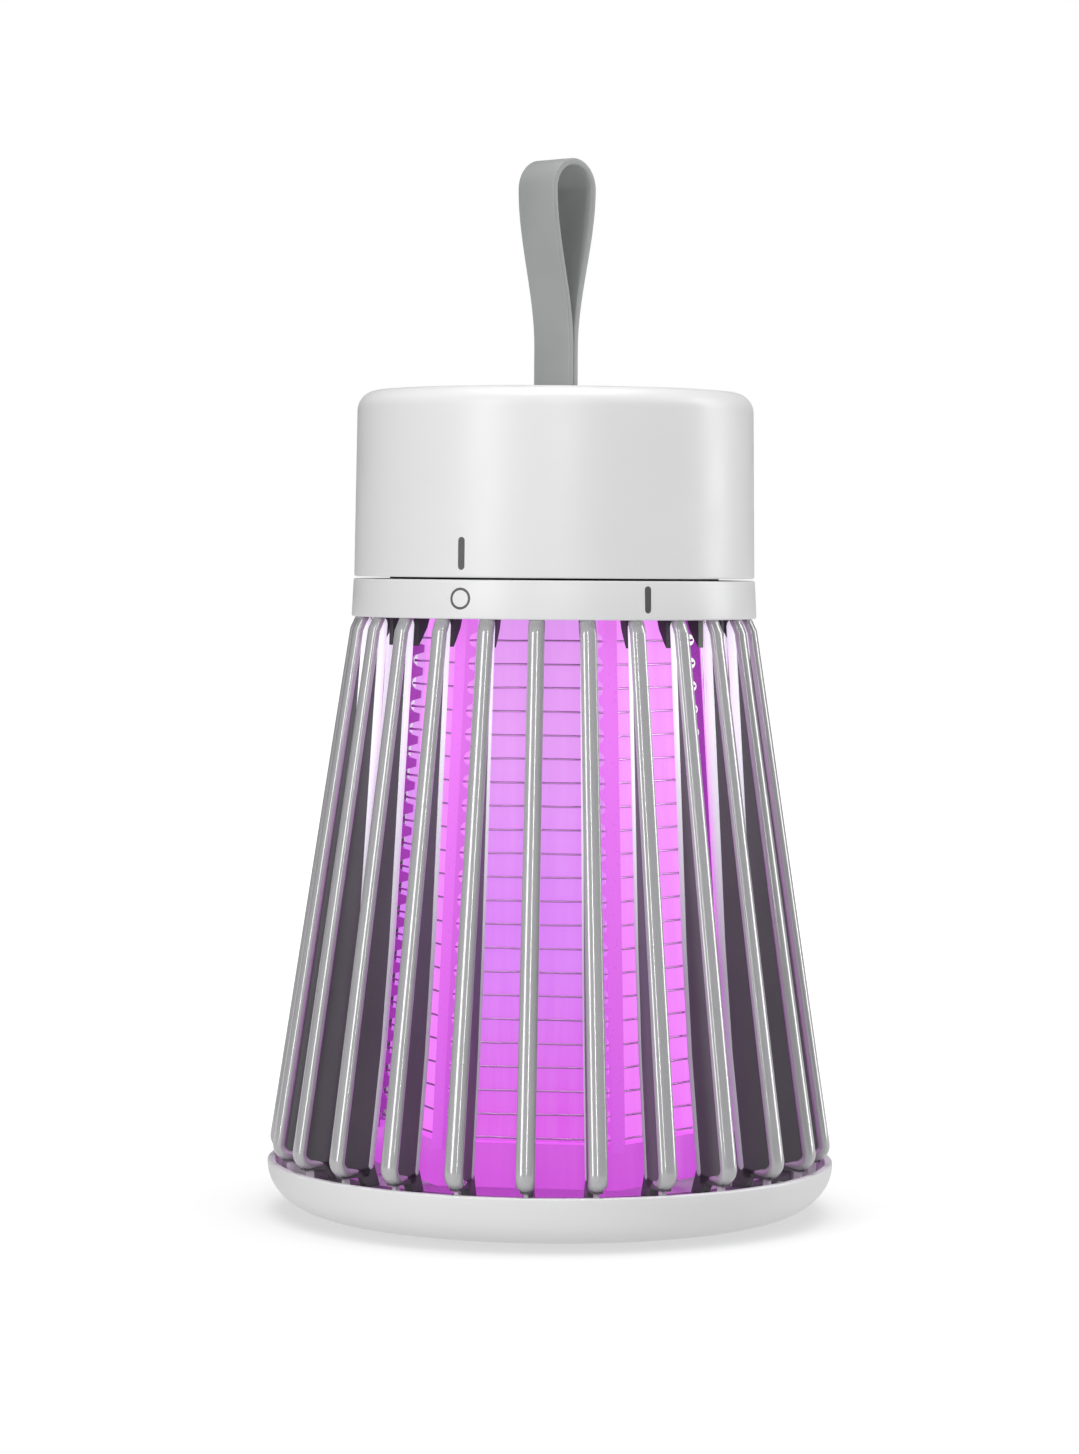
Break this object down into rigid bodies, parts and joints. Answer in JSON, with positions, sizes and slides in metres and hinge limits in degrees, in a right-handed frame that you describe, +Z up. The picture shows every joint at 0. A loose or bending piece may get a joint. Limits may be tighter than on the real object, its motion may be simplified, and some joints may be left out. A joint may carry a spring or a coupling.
{
  "type": "electric bug zapper",
  "caption": "Rechargeable insect zapper: finned conical cage on a round tray, violet lit core ringed by live wires, twist-on cap with a carry strap.",
  "frame": {"origin": "on the surface the object stands on, under its axis", "axes": "+Z up along the axis; -Y is the front, where the switch marks are; +X to the right seen from the front"},
  "size_m": [0.1126, 0.1126, 0.209],
  "materials": {
    "white_abs": "satin",
    "grey_abs": "gloss",
    "dark_abs": "matt",
    "mark_ink": "printed",
    "foot_rubber": "matt",
    "strap_silicone": "satin",
    "steel": "plated",
    "circuit_board": "solder mask",
    "cell_wrap": "shrink sleeve",
    "black_plastic": "moulded",
    "ferrite": "sintered",
    "winding_tape": "tape",
    "capacitor_film": "dipped",
    "clear_lamp": "clear",
    "plunger_plastic": "moulded",
    "violet_plastic": "translucent",
    "lit_diffuser": "frosted, lit",
    "led_board_white": "solder mask",
    "uv_led": "lit",
    "grid_wire": "drawn",
    "brass_strip": "plated"
  },
  "bodies": {
    "tray": {"base_tray": "white_abs", "tray_ribs": "white_abs", "rubber_feet": "foot_rubber"},
    "cage": {"fins": "grey_abs", "upper_hoop": "grey_abs", "lower_hoop": "grey_abs"},
    "collar": {"top_ring": "white_abs", "ring_mark_off": "mark_ink", "ring_mark_on": "mark_ink", "collar_hub": "dark_abs"},
    "head": {"cap_shell": "white_abs", "cap_mark": "mark_ink", "strap": "strap_silicone", "strap_pin": "steel", "head_base": "dark_abs", "head_spigot": "dark_abs", "cap_screws": "steel", "retaining_ring": "steel", "main_pcb": "circuit_board", "pcb_screws": "steel", "battery_cell": "cell_wrap", "battery_holder": "black_plastic", "transformer_core": "ferrite", "transformer_winding": "winding_tape", "hv_capacitors": "capacitor_film", "rectifier_diodes": "black_plastic", "usb_socket": "steel", "charge_lamp": "clear_lamp", "switch_body": "black_plastic", "grid_top_plate": "violet_plastic", "grid_screws": "steel", "light_diffuser": "lit_diffuser", "led_board": "led_board_white", "uv_leds": "uv_led", "core_base": "violet_plastic", "grid_post_1": "violet_plastic", "grid_post_2": "violet_plastic", "grid_post_3": "violet_plastic", "grid_post_4": "violet_plastic", "grid_post_5": "violet_plastic", "grid_post_6": "violet_plastic", "grid_wire_live": "grid_wire", "grid_wire_return": "grid_wire", "busbar_live": "brass_strip", "busbar_return": "brass_strip"},
    "plunger": {"switch_plunger": "plunger_plastic"}
  },
  "joints": [
    {"name": "cage_lift", "type": "slide", "parent": "tray", "child": "cage", "axis": [0, 0, 1], "range_m": [0, 0.03]},
    {"name": "head_lift", "type": "slide", "parent": "cage", "child": "collar", "axis": [0, 0, 1], "range_m": [0, 0.115]},
    {"name": "head_twist", "type": "hinge", "parent": "collar", "child": "head", "pos_m": [0, 0, 0.1245], "axis": [0, 0, 1], "range_deg": [0, 53.2]},
    {"name": "plunger_travel", "type": "slide", "parent": "head", "child": "plunger", "axis": [0, 0, 1], "range_m": [0, 0.00121]}
  ],
  "couplings": [
    {"joint": "plunger_travel", "follows": "head_twist", "m_per_rad": 0.0012924}
  ]
}
